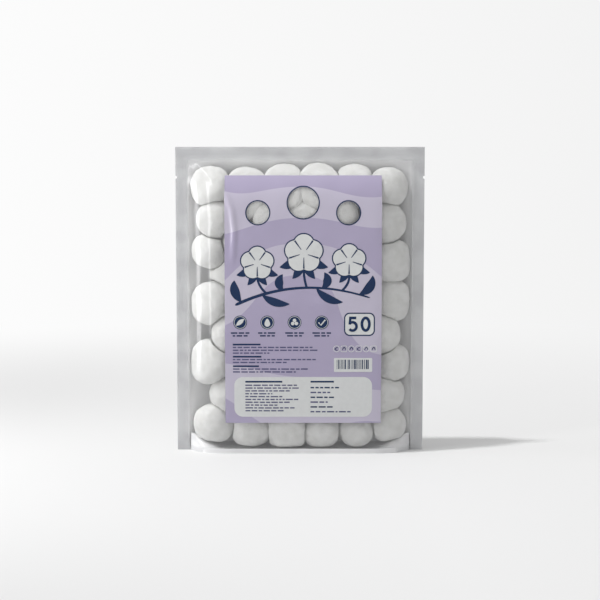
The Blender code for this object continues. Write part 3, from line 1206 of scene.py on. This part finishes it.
def stroke(ink, layer, path, width, closed=False, rows=2):
    """A band along a path: rows of points set off from it along its normal, up to half the width."""
    path = np.asarray(path, dtype=float)
    if closed:
        along = unit(np.roll(path, -1, axis=0) - np.roll(path, 1, axis=0))
    else:
        along = unit(np.gradient(path, axis=0))
    normal = np.column_stack([along[:, 1], -along[:, 0]])
    half = np.broadcast_to(np.asarray(width) / 2, len(path))[:, None]
    grid = np.stack([path + share * half * normal for share in np.linspace(1, -1, rows)])
    put(ink, layer, grid, grid_cells(rows, len(path), closed)[:, ::-1].tolist())


def filled(ink, layer, outline):
    """A filled outline: rings that shrink to its middle, closed there by one face."""
    middle = outline.mean(axis=0)
    count = len(outline)
    reach = np.linalg.norm(outline - middle, axis=1).max() * MM
    rings = max(2, int(np.ceil(reach / PRINT_PITCH)) + 1)
    grid = middle + np.linspace(1, CAP_SHARE, rings)[:, None, None] * (outline - middle)
    faces = grid_cells(rings, count, closed=True).tolist()
    faces.append(list(range((rings - 1) * count, rings * count)))
    if np.cross(outline[0] - middle, outline[1] - middle) < 0:
        faces = [face[::-1] for face in faces]
    put(ink, layer, grid, faces)


def bar(ink, layer, across, down, length, height):
    """A plain horizontal bar from its left end."""
    steps = max(2, int(np.ceil(length * MM / PRINT_PITCH)) + 1)
    path = np.column_stack([np.linspace(across, across + length, steps), np.full(steps, down)])
    stroke(ink, layer, path, height)


def rounded_box(across, down, width, height, radius, sides=1):
    """The outline of a box with round corners: a quarter circle at each, joined by straight sides."""
    middle = np.array([width / 2 - radius, height / 2 - radius])
    corners = []
    for quarter, signs in enumerate(((1, 1), (-1, 1), (-1, -1), (1, -1))):
        angle = np.linspace(0, np.pi / 2, CORNER_POINTS) + quarter * np.pi / 2
        corners.append(middle * signs + radius * way(angle))
    outline = []
    for corner, following in zip(corners, corners[1:] + corners[:1]):
        share = np.linspace(0, 1, sides + 1)[1:-1, None]
        outline += [corner, corner[-1] + share * (following[0] - corner[-1])]
    return np.concatenate(outline) + (across, down)


def curve(points, steps=24):
    """A smooth path through three points: a parabola that is at each at the start, middle and end."""
    first, second, third = np.asarray(points, dtype=float)
    t = np.linspace(0, 1, steps)[:, None]
    return first * (1 - t) * (1 - 2 * t) + second * 4 * t * (1 - t) + third * t * (2 * t - 1)


def leaf(ink, layer, points, width, rows=5):
    """A leaf: a stroke whose width swells and narrows like half a sine wave."""
    path = curve(points)
    swell = np.sin(np.pi * np.linspace(*LEAF_ENDS, len(path))) ** LEAF_FULLNESS
    stroke(ink, layer, path, width * swell, rows=rows)


# %% [markdown]
# ## What is printed
#
# The design is a plain one of its own: a sprig of cotton under the windows, four round badges, a count
# of the balls, rows of short bars where a real label has small print, a strip of stripes and a white
# panel. Bars broken into word-like lengths read as text from a distance and say nothing.

# %% Print the rings and the sprig
RING_WIDTH = 0.9
BOLLS = [(-37.0, 70.0, 12.5), (0.5, 62.0, 14.5), (37.0, 68.0, 12.5)]
STEM = [(-55.0, 104.0), (-2.0, 90.0), (54.0, 98.0)]
STEM_WIDTHS = (2.6, 1.4)
STEM_ENDS = 0.999
STEM_BLUNTNESS = 40
TWIG_WIDTH = 1.9
BOLL_TWIGS = [
    [(-37.0, 80.0), (-35.0, 88.0), (-29.0, 95.0)],
    [(0.5, 74.0), (1.0, 82.0), (3.0, 90.0)],
    [(37.0, 79.0), (36.0, 86.0), (31.0, 92.5)],
]
# Each leaf is a start, a middle and a tip, with its width
SPRIG_LEAVES = [
    ([(-16.0, 91.8), (-19.5, 86.0), (-16.5, 79.0)], 7.0),
    ([(15.0, 90.1), (19.5, 84.5), (17.0, 77.5)], 7.0),
    ([(-50.0, 101.5), (-55.0, 93.0), (-55.5, 84.0)], 7.5),
    ([(45.0, 95.2), (53.5, 89.5), (56.0, 80.0)], 7.5),
    ([(-33.0, 95.6), (-23.0, 101.5), (-11.0, 103.0)], 6.5),
    ([(10.5, 90.1), (20.0, 98.5), (32.0, 101.5)], 6.5),
]
LOBES = 5
FIRST_LOBE = np.radians(-90)
BOLL_POINTS = 160
BOLL_EDGE = 1.0
SEPAL_ANGLES = np.radians([30, 66, 114, 150])
# These are shares of a boll's size: its sepals, its lobes and the creases between them
SEPAL_STOPS = (0.3, 0.9, 1.55)
SEPAL_BULGE = 0.14
LOBE_REACH, LOBE_RADIUS = 0.50, 0.56
CREASE_SPAN = (0.24, 0.86)
CREASE_WIDTHS = (0.5, 1.3)
CREASE_STEPS = 6


def print_rings():
    """A navy ring round each window."""
    for across, down, radius in np.array(WINDOWS) / MM:
        ring = circle(WINDOW_POINTS, radius + RING_WIDTH / 2) + (across, down)
        stroke("navy", 1, ring, RING_WIDTH, closed=True)


def lobed_outline(middle, reach, radius):
    """A round flower of lobes, as one outline: in each direction, the furthest point of any lobe.

    A ray from the middle leaves a circle after the cosine's share of the circle's distance, plus the
    root of its squared radius less the sine's share squared.
    """
    angle = once_round(BOLL_POINTS)
    lean = angle[:, None] - FIRST_LOBE - once_round(LOBES)
    far = reach * np.cos(lean) + np.sqrt(radius**2 - (reach * np.sin(lean)) ** 2)
    return middle + far.max(axis=1)[:, None] * way(angle)


def print_boll(across, down, size):
    """A cotton boll: four sepals under a white flower of five lobes, edged and creased in navy."""
    middle = np.array([across, down])
    for angle in SEPAL_ANGLES:
        out = size * way(angle)
        bulge = SEPAL_BULGE * np.array([-out[1], out[0]]) * np.sign(out[0])
        base, side, tip = (middle + stop * out for stop in SEPAL_STOPS)
        leaf("navy", 2, [base, side + bulge, tip], size / 2)
    for ink, layer, edge in (("navy", 3, BOLL_EDGE), ("white", 4, 0.0)):
        filled(ink, layer, lobed_outline(middle, LOBE_REACH * size, LOBE_RADIUS * size + edge))
    for angle in FIRST_LOBE + once_round(LOBES) + np.pi / LOBES:
        out = size * way(angle)
        path = middle + np.linspace(*CREASE_SPAN, CREASE_STEPS)[:, None] * out
        stroke("navy", 5, path, np.linspace(*CREASE_WIDTHS, CREASE_STEPS))


def print_sprig():
    """A bowed stem, with a twig to each boll and leaves between them."""
    stem = curve(STEM, steps=96)
    across = np.abs(np.linspace(-STEM_ENDS, STEM_ENDS, len(stem)))
    stroke("navy", 0, stem, np.linspace(*STEM_WIDTHS, len(stem)) * (1 - across**STEM_BLUNTNESS) ** 0.5)
    for twig in BOLL_TWIGS:
        stroke("navy", 1, curve(twig), TWIG_WIDTH)
    for points, width in SPRIG_LEAVES:
        leaf("navy", 2, points, width)


print_rings()
print_sprig()
for boll in BOLLS:
    print_boll(*boll)

# %% Print the badges and the count
BADGE_DOWN = 118.0
BADGE_PLACES = [-51.0, -29.0, -7.0, 15.0]
BADGE_RADIUS = 5.6
BADGE_POINTS = 40
# The badges' signs, across and down from a badge's middle: a leaf, a drop, three dots and a tick
LEAF_SIGN = [(-3.2, 2.6), (0.0, -0.2), (3.2, -2.8)]
LEAF_SIGN_WIDTH = 3.4
DROP_RADIUS, DROP_POINT, DROP_DOWN = 2.3, 1.9, 1.2
DOT_RADIUS, DOT_REACH = 1.45, 1.7
DOT_ANGLES = np.radians([-90, -210, -330])
TICK_SIGN = [(-2.6, 0.0), (-0.7, 2.2), (2.9, -2.2)]
TICK_WIDTH = 1.1
COUNT_PLACE = (45.5, 119.5)
# Each line of a badge's small print is how far it is across and down from the badge, and its length
BADGE_LINES = [(-7.5, 8.6, 15.0), (-6.0, 10.9, 12.0)]
BADGE_TEXT = 1.15
BADGE_RING_INSET, BADGE_RING_WIDTH = 0.8, 0.35
# Each box is its ink and layer, its width and height, and the radius of its corners
COUNT_BOXES = [("navy", 1, 25.0, 19.0, 4.5), ("white", 2, 23.0, 17.0, 3.7)]
FIVE_TOP = np.linspace((-2.6, -5.2), (-8.2, -5.2), 4)
FIVE_BACK = np.linspace((-7.3, -6.0), (-7.9, 0.2), 4)
FIVE_BOWL = way(np.radians(np.linspace(-135, 140, 24))) * (3.2, 3.4) + (-5.6, 1.7)
ZERO = circle(36) * (3.0, 5.1) + (5.0, -0.1)
# Each stroke of the count is its layer, its path, its width and whether it is closed
COUNT_STROKES = [
    (3, FIVE_TOP, 2.2, False),
    (4, FIVE_BACK, 2.0, False),
    (5, FIVE_BOWL, 2.2, False),
    (3, ZERO, 2.3, True),
]
WORD_LENGTHS = (1.6, 6.2)
LEAST_WORD = 1.0
# The space after a word is this share of its height and this much more
SPACE_SHARE, SPACE_MORE = 0.8, 0.2
TEXT_SEED = 21
text_chance = np.random.default_rng(TEXT_SEED)


def print_words(ink, layer, across, down, length, height):
    """A line of small print: bars as long as words, with a space between each."""
    reached = across
    while reached < across + length - LEAST_WORD:
        word = min(text_chance.uniform(*WORD_LENGTHS), across + length - reached)
        bar(ink, layer, reached, down, word, height)
        reached += word + SPACE_SHARE * height + SPACE_MORE


def print_badges():
    """Four navy discs with a plain white sign on each, and two lines of small print below."""
    for place in BADGE_PLACES:
        middle = (place, BADGE_DOWN)
        filled("navy", 1, circle(BADGE_POINTS, BADGE_RADIUS) + middle)
        ring = circle(BADGE_POINTS, BADGE_RADIUS - BADGE_RING_INSET) + middle
        stroke("white", 2, ring, BADGE_RING_WIDTH, closed=True)
        for across, down, length in BADGE_LINES:
            print_words("navy", 1, place + across, BADGE_DOWN + down, length, BADGE_TEXT)
    first, second, third, fourth = ((place, BADGE_DOWN) for place in BADGE_PLACES)
    leaf("white", 2, np.add(LEAF_SIGN, first), LEAF_SIGN_WIDTH)
    around = circle(32)
    point = DROP_POINT * np.clip(-around[:, 1:], 0, 1) ** 3 * (0, 1)
    filled("white", 2, DROP_RADIUS * around - point + np.add(second, (0, DROP_DOWN)))
    for angle in DOT_ANGLES:
        filled("white", 2, circle(24, DOT_RADIUS) + DOT_REACH * way(angle) + third)
    stroke("white", 2, np.add(TICK_SIGN, fourth), TICK_WIDTH)


def print_count():
    """The count of the balls, fifty, as two numbers drawn with a broad stroke in a ringed box."""
    for ink, layer, width, height, radius in COUNT_BOXES:
        filled(ink, layer, rounded_box(*COUNT_PLACE, width, height, radius, sides=6))
    for layer, path, width, closed in COUNT_STROKES:
        stroke("navy", layer, path + COUNT_PLACE, width, closed=closed)


print_badges()
print_count()

# %% Print the small print, the signs and the stripes
LINE_STEP = 2.35
TEXT_LEFT = -57.0
STRIPE_BOX = (40.5, 152.8, 31.0, 11.5)
STRIPE_BOX_CORNER = 0.8
STRIPE_WIDTHS = [0.35, 0.6, 0.95]
STRIPE_GAPS = [0.4, 0.7, 1.1]
STRIPE_MARGINS = (2.5, 3.0)
# A stripe's top, middle and bottom, down from the middle of its box
STRIPE_STOPS = (-4.3, 0.0, 3.4)
SIGN_DOWN = 139.5
SIGN_PLACES = np.linspace(27.0, 57.0, 6)
SIGN_SIDE = 4.8
SIGN_CORNER = 1.0
SIGN_RADIUS = 2.5
SIGN_LINE, MARK_LINE = 0.45, 0.7
SIGN_MARK = [(-1.2, 0.9), (0.2, -1.3), (1.3, 0.8)]
# Each paragraph is how far down it starts, and the lengths of its lines
PARAGRAPHS = [(136.0, [66, 70, 30]), (146.0, [68, 44]), (153.8, [62, 51])]
PANEL_BOX = (0.0, 179.2, 112.0, 33.0)
PANEL_CORNER = 7.0
PANEL_HEADING_DOWN = 166.6
# Each column is its left edge, its heading's length, its first line and step, and its lines' inks and
# height, with the lengths of the lines
PANEL_COLUMNS = [
    (-47.0, 30.0, 169.5, LINE_STEP, ["grey"], 1.0, [42, 44, 38, 22, 30, 44, 36, 26, 40, 31]),
    (6.0, 19.0, 171.5, 4.0, ["navy", "grey"], 1.15, [25, 16, 20, 14, 18, 33]),
]
HEADING_SHARE = 0.34
HEADING_HEIGHT, PANEL_HEADING_HEIGHT = 1.35, 1.4
TEXT_HEIGHT = 1.05


def print_paragraph(across, down, lengths):
    """A bold short heading with lines of small print under it."""
    bar("navy", 1, across, down, lengths[0] * HEADING_SHARE, HEADING_HEIGHT)
    for line, length in enumerate(lengths, start=1):
        print_words("grey", 1, across, down + line * LINE_STEP, length, TEXT_HEIGHT)


def print_signs():
    """Six small signs in a row: a ring or a box in outline, each with a simple mark inside."""
    mark = curve(SIGN_MARK, steps=8)
    for number, place in enumerate(SIGN_PLACES):
        middle = (place, SIGN_DOWN)
        ring = circle(28, SIGN_RADIUS) + middle
        outline = rounded_box(*middle, SIGN_SIDE, SIGN_SIDE, SIGN_CORNER) if number % 2 else ring
        stroke("white", 1, outline, SIGN_LINE, closed=True)
        stroke("navy", 1, (mark if number % 3 else mark[:, ::-1]) + middle, MARK_LINE)


def print_stripes():
    """Upright stripes of chance widths on a white box."""
    across, down, width, _ = STRIPE_BOX
    filled("white", 1, rounded_box(*STRIPE_BOX, STRIPE_BOX_CORNER, sides=8))
    reached = across - width / 2 + STRIPE_MARGINS[0]
    while reached < across + width / 2 - STRIPE_MARGINS[1]:
        thick = text_chance.choice(STRIPE_WIDTHS)
        stroke("navy", 2, [(reached, down + stop) for stop in STRIPE_STOPS], thick)
        reached += thick + text_chance.choice(STRIPE_GAPS)


def print_panel():
    """The white panel, with two columns of small print, each under a heading."""
    filled("white", 1, rounded_box(*PANEL_BOX, PANEL_CORNER, sides=14))
    for across, heading, down, step, inks, height, lengths in PANEL_COLUMNS:
        bar("navy", 2, across, PANEL_HEADING_DOWN, heading, PANEL_HEADING_HEIGHT)
        for line, length in enumerate(lengths):
            print_words(inks[line % len(inks)], 2, across, down + line * step, length, height)


for down, lengths in PARAGRAPHS:
    print_paragraph(TEXT_LEFT, down, lengths)
print_signs()
print_stripes()
print_panel()


def lay_print():
    """One piece for each ink and layer, with the ink's own small thickness."""
    for (ink, layer), parts in sorted(printed.items()):
        points, faces = joined(parts)
        piece = add_piece(f"print_{ink}_{layer}", points, faces, INKS[ink])
        thicken(piece, INK_THICKNESS)
        print(piece.name, "has", len(parts), "shapes and", len(piece.data.polygons), "faces")


lay_print()
